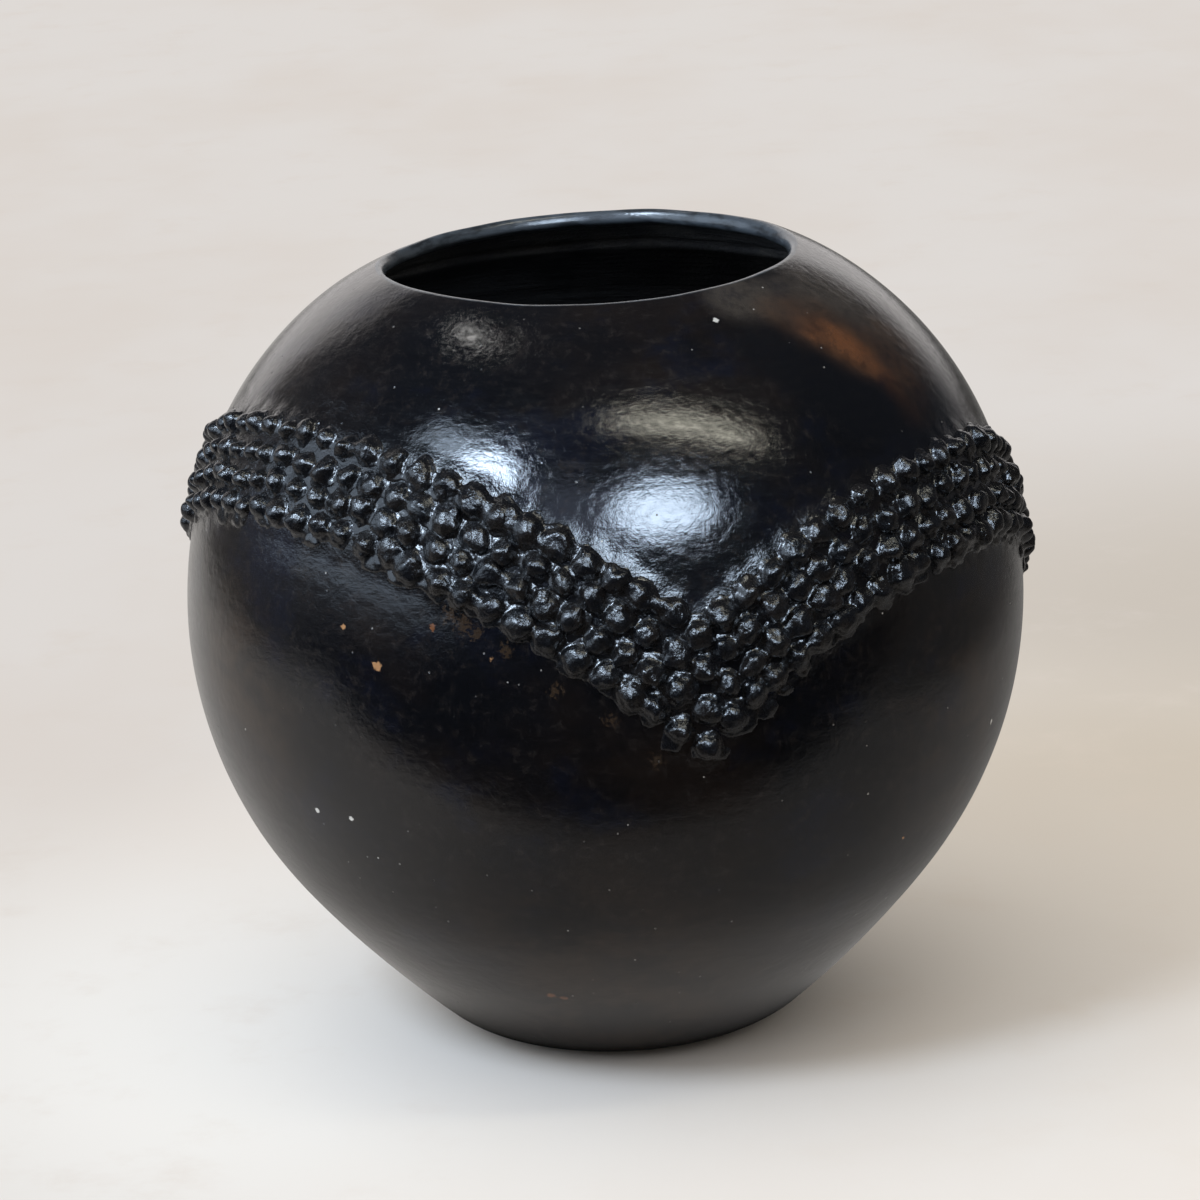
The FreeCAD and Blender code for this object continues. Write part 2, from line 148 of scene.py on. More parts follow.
def section():
    """The closed section from the axis below to the axis inside: point and kind of each step."""
    rows = []

    def add(points, kind):
        for point in points:
            if not rows or np.hypot(*(np.array(point) - rows[-1][0])) > 1e-5:
                rows.append((np.array(point, float), kind))

    foot = OUT[0]
    first, _ = at_length(FOOT_TURN)
    under = np.array([foot[0] - FOOT_TURN, 0.0])
    add([(r, FOOT_HOLLOW * (1 - (r / under[0]) ** 2)) for r in np.linspace(0.0, under[0], 22)],
        UNDER)
    add(bend(under, foot, first, 12), OUTER)
    steps = int((LENGTH - FOOT_TURN - LIP_TURN) / STEP)
    add([at_length(s)[0] for s in np.linspace(FOOT_TURN, LENGTH - LIP_TURN, steps)], OUTER)
    lip_out, lip_n = at_length(LENGTH)
    lip_in = lip_out - lip_n * RIM
    before, _ = at_length(LENGTH - LIP_TURN)
    across = lip_in - lip_out
    across /= np.linalg.norm(across)
    add(bend(before, lip_out, lip_out + across * LIP_TURN, 6), LIP)
    inside = []
    for s in np.linspace(LENGTH, 0.0, 400):
        point, normal = at_length(s)
        thick = RIM + (WALL - RIM) * float(smooth(0.0, 0.03, LENGTH - s))
        inside.append(point - normal * thick)
    inside = np.array(inside)
    inside = inside[inside[:, 1] > FLOOR_Z]
    in_s = np.concatenate([[0.0], np.cumsum(np.hypot(*np.diff(inside, axis=0).T))])

    def on_inside(s):
        return np.array([np.interp(s, in_s, inside[:, k]) for k in (0, 1)])

    add(bend(lip_in - across * LIP_TURN_IN, lip_in, on_inside(MOUTH_TURN), 7), LIP)
    last = in_s[-1] - FLOOR_FILLET
    steps = int(last / (STEP * 1.25))
    add([on_inside(s) for s in np.linspace(MOUTH_TURN, last, steps)], INNER)
    corner = inside[-1]
    floor_start = np.array([corner[0] - FLOOR_FILLET, FLOOR_Z])
    add(bend(on_inside(last), corner, floor_start, 10), INNER)
    add([(r, FLOOR_Z) for r in np.linspace(floor_start[0], 0.0, 20)], INNER)
    return np.array([row[0] for row in rows]), np.array([row[1] for row in rows])


# --- unevenness of the hand-built wall --------------------------------------------------------

def swell(point):
    """How far the hand-built wall stands out from the true outline, in metres."""
    x, y, z = point
    broad = noise.noise(Vector((x / 0.085 + 3.1, y / 0.085 + 7.7, z / 0.075 + 1.3)))
    middle = noise.noise(Vector((x / 0.034 + 11.0, y / 0.034, z / 0.026 + 5.0)))
    facets = noise.noise(Vector((x / 0.015, y / 0.015 + 4.0, z / 0.0075)))
    return 0.0007 * broad + 0.00011 * middle + 0.000012 * facets


def swell_at(azimuth, z):
    """The same, at a place of the outer face."""
    point, _ = at_length(length_at(z))
    masked = float(smooth(0.0, 0.03, z))
    return masked * swell((point[0] * math.sin(azimuth), -point[0] * math.cos(azimuth), point[1]))


def lip_shift(azimuth):
    """The lip's own unevenness: outward and upward shift."""
    out = -0.0005 * np.cos(azimuth) - 0.0002 * np.sin(azimuth) - 0.0003 * np.cos(2 * azimuth)
    up = (0.0002 * np.sin(azimuth) - 0.00035 * np.cos(2 * azimuth)
          - 0.0005 * np.sin(2 * azimuth) - 0.0004 * np.cos(3 * azimuth))
    waves = (math.sin(7 * azimuth + 0.6) + 0.7 * math.sin(11 * azimuth + 2.1)
             + 0.5 * math.sin(17 * azimuth + 4.0))
    return out + 0.0004 + 0.00010 * waves, up + 0.0004 + 0.00012 * waves


# --- the pellets' seats, read from the frame --------------------------------------------------

def islands(mesh):
    """The corners of each closed piece of a mesh, joined by position."""
    co = np.array([vertex.co for vertex in mesh.vertices])
    _, first, same = np.unique(np.round(co * 1e5).astype(np.int64), axis=0,
                               return_index=True, return_inverse=True)
    same = same.ravel()
    parent = list(range(len(first)))

    def root(index):
        while parent[index] != index:
            parent[index] = parent[parent[index]]
            index = parent[index]
        return index

    for polygon in mesh.polygons:
        corners = [int(same[v]) for v in polygon.vertices]
        for other in corners[1:]:
            parent[root(other)] = root(corners[0])
    groups = {}
    for index in range(len(first)):
        groups.setdefault(root(index), []).append(index)
    return [co[first[group]] for group in groups.values()]


def seats_of(name):
    """Azimuth, height and half width of each pellet of a row, in order along the row."""
    seats = []
    for corners in islands(NODES[name].data):
        centre = (corners.min(axis=0) + corners.max(axis=0)) / 2.0
        azimuth = math.atan2(centre[0], -centre[1])
        outward = np.array([math.hypot(centre[0], centre[1]), centre[2]])
        z = centre[2]
        for _ in range(3):
            point, normal = at_length(length_at(z))
            z = float(outward[1] - normal[1] * np.dot(outward - point, normal))
        turn = np.array([math.sin(azimuth), -math.cos(azimuth)])
        out = np.array([turn[0] * normal[0], turn[1] * normal[0], normal[1]])
        offset = corners - centre
        offset -= np.outer(offset @ out, out)
        spread = np.linalg.norm(offset, axis=1).max()
        seats.append((azimuth, z, float(spread)))
    if "back" in name:
        seats = [(a + 2 * math.pi if a < 0 else a, z, w) for a, z, w in seats]
    return sorted(seats)


SEATS = {name: seats_of(name) for name in ROW_NODES}


def place_on_wall(azimuth, z, lift=0.0):
    """A point above the outer face and the directions right, up and out there."""
    point, normal = at_length(length_at(z))
    height = lift + swell_at(azimuth, z)
    right = Vector((math.cos(azimuth), math.sin(azimuth), 0.0))
    outward = Vector((math.sin(azimuth), -math.cos(azimuth), 0.0))
    out = outward * normal[0] + Vector((0, 0, normal[1]))
    place = outward * point[0] + Vector((0, 0, point[1])) + out * height
    return place, right, out.cross(right), out


def seat_tree():
    """All pellet seats in space, for finding how near the garland a point is."""
    spots = [place_on_wall(a, z)[0] for seats in SEATS.values() for a, z, _ in seats]
    tree = kdtree.KDTree(len(spots))
    for index, spot in enumerate(spots):
        tree.insert(spot, index)
    tree.balance()
    return tree


TREE = seat_tree()


# --- the skin of the pot ----------------------------------------------------------------------

def coil_ridges(s_in):
    """Ledges inside, where the coils were smeared together: inward shift by length from the lip."""
    ledges = ((0.0245, 0.0019), (0.061, 0.0008), (0.103, 0.0006), (0.146, 0.0005))
    shift = np.zeros_like(s_in)
    for where, size in ledges:
        away = s_in - where
        shift += size * np.exp(-np.where(away > 0, away / 0.0012, away / 0.0045) ** 2)
    return shift


def add_object(name, data):
    """A new object in the scene."""
    made = bpy.data.objects.new(name, data)
    bpy.context.scene.collection.objects.link(made)
    return made


def store(mesh, label, values):
    """Keep a value or a vector for each point of a mesh."""
    values = np.array(values, np.float32)
    kind, field = ("FLOAT", "value") if values.ndim == 1 else ("FLOAT_VECTOR", "vector")
    attribute = mesh.attributes.new(label, kind, "POINT")
    attribute.data.foreach_set(field, values.ravel())


def wall_shift(kind, base, near_foot, ridge):
    """How far a point of the skin stands out, and how near the garland it lies, from 0 to 1."""
    x, y, z = base
    if kind == UNDER:
        return 0.0, 0.0
    if kind == INNER:
        flow = noise.noise(Vector((x / 0.045, y / 0.045 + 2.0, z / 0.011)))
        lumps = noise.noise(Vector((x / 0.014 + 9.0, y / 0.014, z / 0.008)))
        return -(0.0007 * flow + 0.0002 * lumps) * near_foot - ridge, 0.0
    shift = near_foot * swell(base)
    if kind == LIP:
        return shift, 0.0
    # a rough strip of clay carries the garland
    distance = TREE.find(base)[2]
    rough = noise.noise(Vector((x / 0.005, y / 0.005, z / 0.005)))
    strip = float(1.0 - smooth(0.0055, 0.0100, distance + 0.0025 * rough))
    near = float(1.0 - smooth(0.004, 0.016, distance))
    return shift + strip * (0.0007 + 0.0004 * rough), near


def skin_faces(points, kinds):
    """Faces between neighbouring rings, a fan at each pole, and 1 for each that lies inside."""
    faces, inside = [], []
    low = 0
    for i in range(len(points) - 1):
        low_pole, high_pole = points[i][0] < POLE, points[i + 1][0] < POLE
        high = low + (1 if low_pole else AROUND)
        for j in range(AROUND):
            after = (j + 1) % AROUND
            if low_pole:
                face = (low, high + j, high + after)
            elif high_pole:
                face = (low + j, high, low + after)
            else:
                face = (low + j, high + j, high + after, low + after)
            faces.append(face[::-1])
            inside.append(1 if kinds[i] == INNER and kinds[i + 1] == INNER else 0)
        low = high
    return faces, inside


def make_skin():
    """One continuous clay wall: under side, outer face, lip and inner face."""
    points, kinds = section()
    steps = np.hypot(*np.diff(points, axis=0).T)
    along = np.concatenate([[0.0], np.cumsum(steps)])
    tangent = np.gradient(points, along, axis=0)
    tangent /= np.linalg.norm(tangent, axis=1)[:, None]
    normals = np.stack([tangent[:, 1], -tangent[:, 0]], axis=1)
    near_lip = 1.0 - smooth(0.0, 0.065, np.abs(along - along[kinds == LIP].mean()))
    near_foot = smooth(0.0, 0.03, points[:, 1])
    from_lip = along - along[kinds == LIP].max()
    ridges = np.where(kinds == INNER, coil_ridges(from_lip), 0.0)
    verts, unrolled, garland, depth, lip = [], [], [], [], []
    for i, (radius, z) in enumerate(points):
        for j in range(1 if radius < POLE else AROUND):
            azimuth = -math.pi + 2 * math.pi * j / AROUND
            sine, cosine = math.sin(azimuth), -math.cos(azimuth)
            base = (radius * sine, radius * cosine, z)
            shift, near = wall_shift(kinds[i], base, near_foot[i], ridges[i])
            out, up = lip_shift(azimuth)
            rr = radius + normals[i, 0] * shift + out * near_lip[i]
            zz = z + normals[i, 1] * shift + up * near_lip[i]
            verts.append((rr * sine, rr * cosine, max(zz, 0.0)))
            unrolled.append((sine * UNROLL_R, cosine * UNROLL_R, along[i]))
            garland.append(near)
            lip.append(1.0 if kinds[i] == LIP else 0.0)
            depth.append(max(from_lip[i], 0.0) * 1000.0)
    faces, inside = skin_faces(points, kinds)
    mesh = bpy.data.meshes.new("pot_skin")
    mesh.from_pydata(verts, [], faces)
    mesh.validate()
    for label, values in (("unrolled", unrolled), ("garland", garland), ("depth", depth),
                          ("lip", lip)):
        store(mesh, label, values)
    mesh.polygons.foreach_set("use_smooth", [True] * len(mesh.polygons))
    mesh.polygons.foreach_set("material_index", inside)
    mesh.update()
    return add_object("pot_skin", mesh)


# --- the pellets ------------------------------------------------------------------------------

def ball(detail):
    """Points and faces of a unit ball made of even triangles."""
    t = (1.0 + math.sqrt(5.0)) / 2.0
    verts = [Vector(v).normalized() for v in (
        (-1, t, 0), (1, t, 0), (-1, -t, 0), (1, -t, 0), (0, -1, t), (0, 1, t),
        (0, -1, -t), (0, 1, -t), (t, 0, -1), (t, 0, 1), (-t, 0, -1), (-t, 0, 1))]
    faces = [(0, 11, 5), (0, 5, 1), (0, 1, 7), (0, 7, 10), (0, 10, 11), (1, 5, 9), (5, 11, 4),
             (11, 10, 2), (10, 7, 6), (7, 1, 8), (3, 9, 4), (3, 4, 2), (3, 2, 6), (3, 6, 8),
             (3, 8, 9), (4, 9, 5), (2, 4, 11), (6, 2, 10), (8, 6, 7), (9, 8, 1)]
    for _ in range(detail):
        middles, finer = {}, []

        def middle(a, b):
            key = (min(a, b), max(a, b))
            if key not in middles:
                middles[key] = len(verts)
                verts.append(((verts[a] + verts[b]) / 2.0).normalized())
            return middles[key]

        for a, b, c in faces:
            ab, bc, ca = middle(a, b), middle(b, c), middle(c, a)
            finer += [(a, ab, ca), (b, bc, ab), (c, ca, bc), (ab, bc, ca)]
        faces = finer
    return verts, faces


BALL, BALL_FACES = ball(2)
SMALL_BALL, SMALL_FACES = ball(1)


class Clay:
    """Lumps of clay that are pressed together into one mesh."""

    def __init__(self):
        self.verts, self.faces = [], []

    def lump(self, centre, axes, sizes, wobble=0.0, seed=0.0, small=False):
        """An ellipsoid with its own axes and half sizes, and a wobble in its shape."""
        verts, faces = (SMALL_BALL, SMALL_FACES) if small else (BALL, BALL_FACES)
        start = len(self.verts)
        for v in verts:
            swollen = 1.0
            if wobble:
                swollen += wobble * noise.noise(v * 1.35 + Vector((seed, seed * 0.37, 1.9)))
            offset = Vector((0, 0, 0))
            for axis, size, part in zip(axes, sizes, v):
                offset += axis * (size * part * swollen)
            self.verts.append(centre + offset)
        self.faces += [tuple(start + index for index in face) for face in faces]


def turned(right, up, angle):
    """Two directions in the wall, turned by an angle."""
    return (right * math.cos(angle) + up * math.sin(angle),
            up * math.cos(angle) - right * math.sin(angle))


PELLET_RISE = 0.0047
PELLET_LIFT = 0.0008
LARGE_PELLET = (0.0040, 0.0050)
VOXEL = 0.00068


def press_pellet(clay, azimuth, z, half, lowest):
    """One pellet at its seat, with its skirt, at times a bud, and pads below the lowest row."""
    azimuth += random.uniform(-1, 1) * 0.0010 / BELLY_R
    z += random.uniform(-1, 1) * 0.0009
    large = float(smooth(*LARGE_PELLET, half))
    size = half * random.uniform(0.88, 1.16)
    rise = PELLET_RISE * random.uniform(0.78, 1.12) * (0.80 + 0.20 * size / half)
    place, right, up, out = place_on_wall(azimuth, z, PELLET_LIFT)
    along, across = turned(right, up, random.uniform(0, math.pi))
    lean = out + right * random.uniform(-0.25, 0.25) - up * random.uniform(-0.10, 0.30)
    lean.normalize()
    stretch = random.uniform(0.80, 1.0)
    clay.lump(place, (along, across, lean), (size, size * stretch, rise),
              0.16 + 0.14 * large, random.uniform(0, 90))
    clay.lump(place - out * 0.0006, (along, across, out), (size * 1.42, size * 1.34, 0.0013),
              0.35, random.uniform(0, 90), True)
    if random.random() < 0.22 + 0.33 * large:
        side = random.uniform(0, 2 * math.pi)
        bud, _ = turned(right, up, side)
        clay.lump(place + bud * size * 0.66 + out * rise * 0.18, (along, across, out),
                  (size * 0.50, size * 0.50, rise * 0.58), 0.3, side, True)
    if lowest:
        for _ in range(2):
            slip = right * random.uniform(-0.005, 0.005) - up * random.uniform(0.002, 0.0065)
            clay.lump(place + slip - out * 0.0009, (right, up, out),
                      (random.uniform(0.003, 0.006), random.uniform(0.002, 0.0045), 0.0014),
                      0.5, random.uniform(0, 90), True)
    return place, out, size, large


def bridge(clay, first, second):
    """Clay dragged from a large pellet to the next one of its row, seldom."""
    (a, out_a, size, large), (b, out_b, _, _) = first, second
    reach = (b - a).length
    if reach > 0.018 or random.random() > 0.10 * large:
        return
    run = (b - a).normalized()
    out = (out_a + out_b).normalized()
    clay.lump((a + b) / 2.0 + out * 0.0010, (run, out.cross(run), out),
              (reach * 0.42, size * 0.62, 0.0020), 0.4, random.uniform(0, 90), True)


def make_row(name, lowest):
    """One row of amasumpa: lumps pressed on the wall and worked together with a wet finger."""
    random.seed(name)
    clay = Clay()
    spots = [press_pellet(clay, *seat, lowest) for seat in SEATS[name]]
    for first, second in zip(spots, spots[1:]):
        bridge(clay, first, second)
    mesh = bpy.data.meshes.new(name + "_clay")
    mesh.from_pydata([tuple(v) for v in clay.verts], [], clay.faces)
    piece = add_object(name + "_clay", mesh)
    remesh = piece.modifiers.new("pressed", "REMESH")
    remesh.mode = "VOXEL"
    remesh.voxel_size = VOXEL
    remesh.use_smooth_shade = True
    soften = piece.modifiers.new("wiped", "SMOOTH")
    soften.factor = 0.5
    soften.iterations = 4
    bpy.context.view_layer.update()
    shaped = bpy.data.meshes.new_from_object(
        piece.evaluated_get(bpy.context.evaluated_depsgraph_get()))
    piece.modifiers.clear()
    piece.data = shaped
    bpy.data.meshes.remove(mesh)
    shaped.name = name + "_clay"
    finish_row(shaped)
    return piece


def finish_row(mesh):
    """Thumb marks and grit on the pellets, and how high each point stands off the wall."""
    count = len(mesh.vertices)
    co = np.empty(count * 3, np.float32)
    mesh.vertices.foreach_get("co", co)
    co = co.reshape(-1, 3).astype(float)
    normal = np.empty(count * 3, np.float32)
    mesh.vertices.foreach_get("normal", normal)
    normal = normal.reshape(-1, 3)
    shift = np.empty(count)
    for index, (x, y, z) in enumerate(co):
        dents = noise.noise(Vector((x / 0.0036, y / 0.0036, z / 0.0036)))
        grit = noise.noise(Vector((x / 0.0013, y / 0.0013 + 5.0, z / 0.0013)))
        shift[index] = 0.00022 * dents + 0.00008 * grit
    co += normal * shift[:, None]
    mesh.vertices.foreach_set("co", co.astype(np.float32).ravel())
    radius = np.hypot(co[:, 0], co[:, 1])
    along = np.interp(co[:, 2], OUT[:, 1], OUT_S)
    wall = [np.interp(along, OUT_S, OUT[:, k]) for k in (0, 1)]
    face = [np.interp(along, OUT_S, OUT_N[:, k]) for k in (0, 1)]
    rise = (radius - wall[0]) * face[0] + (co[:, 2] - wall[1]) * face[1]
    store(mesh, "rise", rise * 1000.0)
    mesh.polygons.foreach_set("use_smooth", [True] * len(mesh.polygons))
    mesh.update()


# --- materials --------------------------------------------------------------------------------

# The colour sockets of a Mix node
MIX_A, MIX_B, MIX_OUT = 6, 7, 2


class Graph:
    """The node tree of a material or a world, with short ways to add nodes."""

    def __init__(self, owner):
        owner.use_nodes = True
        self.nodes = owner.node_tree.nodes
        self.links = owner.node_tree.links

    def node(self, kind, **values):
        made = self.nodes.new(kind)
        for key, value in values.items():
            setattr(made, key, value)
        return made

    def link(self, source, target):
        self.links.new(source, target)

    def put(self, target, value):
        """Link a socket, or set a plain value."""
        if isinstance(value, bpy.types.NodeSocket):
            self.links.new(value, target)
        else:
            target.default_value = value

    def attribute(self, name, output="Fac"):
        return self.node("ShaderNodeAttribute", attribute_name=name).outputs[output]

    def place(self):
        return self.node("ShaderNodeTexCoord").outputs["Object"]

    def parts(self, vector):
        """The three numbers of a vector."""
        split = self.node("ShaderNodeSeparateXYZ")
        self.link(vector, split.inputs[0])
        return split.outputs

    def scaled(self, vector, scale, shift=(0, 0, 0)):
        made = self.node("ShaderNodeMapping")
        for key, value in (("Vector", vector), ("Scale", scale), ("Location", shift)):
            self.put(made.inputs[key], value)
        return made.outputs["Vector"]

    def noise(self, vector, scale, detail=3.0, rough=0.5, distortion=0.0):
        made = self.node("ShaderNodeTexNoise")
        for key, value in (("Vector", vector), ("Scale", scale), ("Detail", detail),
                           ("Roughness", rough), ("Distortion", distortion)):
            self.put(made.inputs[key], value)
        return made.outputs["Fac"]

    def ramp(self, value, low, high, to_low=0.0, to_high=1.0):
        """Smooth step from to_low at low to to_high at high."""
        made = self.node("ShaderNodeMapRange", interpolation_type="SMOOTHSTEP")
        for key, number in (("Value", value), ("From Min", low), ("From Max", high),
                            ("To Min", to_low), ("To Max", to_high)):
            self.put(made.inputs[key], number)
        return made.outputs["Result"]

    def fade(self, value, low, high):
        """Smooth step from 1 at low to 0 at high."""
        return self.ramp(value, low, high, 1.0, 0.0)

    def math(self, operation, first, second):
        made = self.node("ShaderNodeMath", operation=operation)
        self.put(made.inputs[0], first)
        self.put(made.inputs[1], second)
        return made.outputs[0]

    def times(self, product, *others):
        for other in others:
            product = self.math("MULTIPLY", product, other)
        return product

    def plus(self, total, *others):
        for other in others:
            total = self.math("ADD", total, other)
        return total

    def mix(self, share, first, second, **values):
        made = self.node("ShaderNodeMix", data_type="RGBA", **values)
        self.put(made.inputs["Factor"], share)
        self.put(made.inputs[MIX_A], first)
        self.put(made.inputs[MIX_B], second)
        return made.outputs[MIX_OUT]

    def distance(self, vector, centre):
        made = self.node("ShaderNodeVectorMath", operation="DISTANCE")
        self.put(made.inputs[0], vector)
        made.inputs[1].default_value = centre
        return made.outputs["Value"]

    def near(self, vector, centre, radius, soft):
        """1 within radius of a point, 0 beyond radius + soft."""
        return self.fade(self.distance(vector, centre), radius, radius + soft)

    def bump(self, height, strength, distance, normal=None):
        made = self.node("ShaderNodeBump")
        for key, value in (("Height", height), ("Strength", strength), ("Distance", distance)):
            self.put(made.inputs[key], value)
        if normal is not None:
            self.link(normal, made.inputs["Normal"])
        return made.outputs["Normal"]

    def glow(self, color, strength):
        """Light that a surface sends out by itself."""
        made = self.node("ShaderNodeEmission")
        self.put(made.inputs["Color"], color)
        self.put(made.inputs["Strength"], strength)
        return made.outputs[0]

    def cover(self, share, below, above):
        """One shader over another, by a share."""
        blend = self.node("ShaderNodeMixShader")
        for socket, source in zip(blend.inputs, (share, below, above)):
            self.link(source, socket)
        return blend.outputs[0]


class Paint(Graph):
    """A material with one clay or sheet surface."""

    def __init__(self, name):
        self.material = bpy.data.materials.new(name)
        super().__init__(self.material)
        self.shader = self.nodes["Principled BSDF"]

    def surface(self, color, rough, normal):
        for key, source in (("Base Color", color), ("Roughness", rough), ("Normal", normal)):
            self.link(source, self.shader.inputs[key])

    def coat(self, weight, rough, normal):
        """The thin gloss that burnishing gives."""
        for key, value in (("Coat Weight", weight), ("Coat Roughness", rough), ("IOR", 1.5)):
            self.shader.inputs[key].default_value = value
        self.link(normal, self.shader.inputs["Coat Normal"])


def on_outside(azimuth, z):
    """A point of the outer face, azimuth in degrees, height in millimetres."""
    turn = math.radians(azimuth)
    point, _ = at_length(length_at(z / 1000.0))
    return (point[0] * math.sin(turn), -point[0] * math.cos(turn), float(point[1]))


BLACK = (0.0030, 0.0033, 0.0045, 1)
SOOT = (0.0018, 0.0019, 0.0025, 1)
BROWN_BLACK = (0.0075, 0.0052, 0.0044, 1)
RUST = (0.115, 0.045, 0.018, 1)
SCORCH = (0.050, 0.028, 0.017, 1)
ASH = (0.050, 0.042, 0.035, 1)
UMBER = (0.026, 0.016, 0.010, 1)
TAN = (0.30, 0.16, 0.075, 1)
SCUFF = (0.026, 0.017, 0.011, 1)
NAVY = (0.0035, 0.0046, 0.0100, 1)
DUST = (0.50, 0.49, 0.46, 1)

# Fire clouds: azimuth, height, radius and soft edge in millimetres, strength.
ASH_CLOUDS = ((40, 297, 8, 12, 0.8), (50, 294, 8, 10, 0.75), (64, 293, 10, 14, 0.95),
              (67, 285, 8, 14, 0.9), (74, 276, 8, 24, 0.6))
SCORCH_CLOUDS = ((46, 291, 5, 10, 0.7), (51, 286, 8, 13, 0.9), (55, 277, 8, 13, 0.85),
                 (66, 270, 8, 18, 0.7), (60, 258, 4, 14, 0.35))
RUST_CLOUDS = ((50, 285, 3, 9, 0.75), (51.5, 281.5, 3, 9, 0.8), (53.5, 278, 3, 9, 0.8),
               (55.5, 273, 3, 8, 0.6), (57, 266, 2, 7, 0.3), (57, 260, 2, 7, 0.25),
               (57, 252.5, 2, 7, 0.2))
BLACK_CLOUDS = ((36, 283, 8, 12, 0.9), (41, 272.5, 9, 12, 0.95), (46.5, 261, 9, 12, 0.95),
                (52, 250, 9, 12, 0.9))
UMBER_CLOUDS = ((-62, 172, 6, 40, 0.55), (-58, 151, 8, 45, 0.60), (53, 148, 8, 45, 0.5),
                (63, 114, 14, 50, 0.65), (-5, 64, 10, 60, 0.45), (4, 32, 14, 60, 0.65),
                (150, 200, 30, 60, 0.6), (-150, 120, 25, 60, 0.55), (100, 70, 10, 50, 0.6))

# Chips and scuffs in the skin: azimuth, height, radius and raggedness in millimetres, tone.
CHIPS = ((-31.3, 185.7, 1.5, 2.2, TAN), (-36.8, 197.9, 0.8, 1.5, TAN),
         (-45.2, 122.5, 0.8, 1.5, DUST), (-38.9, 122.6, 0.7, 1.5, DUST),
         (-15.1, 43.3, 1.5, 3.0, RUST), (-12.6, 42.0, 0.9, 3.0, RUST),
         (-23.2, 201.3, 0.9, 3.0, RUST), (-20.6, 206.5, 2.2, 9.0, SCUFF),
         (-18.9, 203.0, 2.4, 9.0, SCUFF), (-17.2, 200.0, 1.8, 9.0, SCUFF),
         (-13.1, 194.3, 1.6, 9.0, SCUFF), (-15.2, 191.0, 0.5, 2.0, TAN),
         (-6.9, 179.9, 1.2, 9.0, SCUFF), (-0.1, 168.2, 1.4, 9.0, SCUFF),
         (5.4, 151.8, 1.3, 9.0, SCUFF),
         (28.6, 293.2, 0.9, 1.5, DUST), (47.0, 96.0, 0.6, 1.5, TAN), (66.0, 128.0, 0.7, 1.5, DUST))


CHIP_EDGE = 0.0004
CHIP_RAGS = 0.0022


def smoked(paint, place, flat, patches, fine):
    """The colour of the burnish: black with brown, blue and sooty patches, and the fire clouds."""
    color = paint.mix(paint.ramp(patches, 0.42, 0.68), BLACK, BROWN_BLACK)
    blue = paint.noise(paint.scaled(place, (21, 21, 26), (4, 2, 7)), 1.0, 4.0, 0.65)
    color = paint.mix(paint.ramp(blue, 0.50, 0.66, 0.0, 0.8), color, NAVY)
    color = paint.mix(paint.ramp(fine, 0.50, 0.72, 0.0, 0.7), color, (0.017, 0.014, 0.013, 1))
    soot = paint.noise(paint.scaled(flat, (34, 34, 48)), 1.0, 5.0, 0.65)
    color = paint.mix(paint.ramp(soot, 0.42, 0.75, 0.0, 0.7), color, SOOT)
    edge = paint.noise(paint.scaled(flat, (30, 30, 44)), 1.0, 6.0, 0.68, 0.6)
    grain = paint.ramp(fine, 0.35, 0.55, 0.6, 1.0)
    for tint, clouds, least in ((UMBER, UMBER_CLOUDS, 0.15), (ASH, ASH_CLOUDS, 0.60),
                                (SCORCH, SCORCH_CLOUDS, 0.50), (RUST, RUST_CLOUDS, 0.35),
                                (BLACK, BLACK_CLOUDS, 0.75)):
        broken = paint.times(paint.ramp(edge, 0.40, 0.60, least, 1.0), grain)
        for azimuth, z, radius, soft, strength in clouds:
            mask = paint.near(place, on_outside(azimuth, z), radius / 1000.0, soft / 1000.0)
            color = paint.mix(paint.times(mask, broken, strength), color, tint)
    return color


def lip_wear_and_sheen(paint, flat, lip, color):
    """The lip is worn grey from rubbing, and its blue-grey is partly a painted sheen of the blue
    window light.
    """
    worn = paint.ramp(paint.noise(paint.scaled(flat, (60, 60, 300)), 1.0, 4.0, 0.6), 0.35, 0.6)
    # the grey is wear; the blue in it is a painted sheen
    lip_tone_and_sheen = paint.mix(worn, (0.018, 0.022, 0.027, 1), (0.062, 0.076, 0.092, 1))
    return paint.mix(paint.times(lip, 0.85), color, lip_tone_and_sheen)


def dusty_pores(paint, place, color):
    """Dust in a few pores.  Gives the colour, and where the pores are."""
    cells = paint.node("ShaderNodeTexVoronoi")
    paint.link(place, cells.inputs["Vector"])
    cells.inputs["Scale"].default_value = 250.0
    chosen = paint.node("ShaderNodeSeparateColor")
    paint.link(cells.outputs["Color"], chosen.inputs[0])
    which, tone, strength = chosen.outputs
    pore = paint.times(paint.fade(cells.outputs["Distance"], 0.06, 0.13),
                       paint.ramp(which, 0.91, 0.93))
    tone = paint.mix(tone, SCUFF, DUST)
    return paint.mix(paint.times(pore, strength), color, tone), pore


def chipped(paint, place, color):
    """Small chips and scuffs with ragged edges."""
    ragged = paint.math("SUBTRACT", paint.noise(place, 700.0, 4.0, 0.7), 0.5)
    for azimuth, z, radius, rags, tone in CHIPS:
        away = paint.plus(paint.distance(place, on_outside(azimuth, z)),
                          paint.times(ragged, rags * CHIP_RAGS))
        edge = radius / 1000.0
        color = paint.mix(paint.fade(away, edge, edge + CHIP_EDGE), color, tone)
    return color


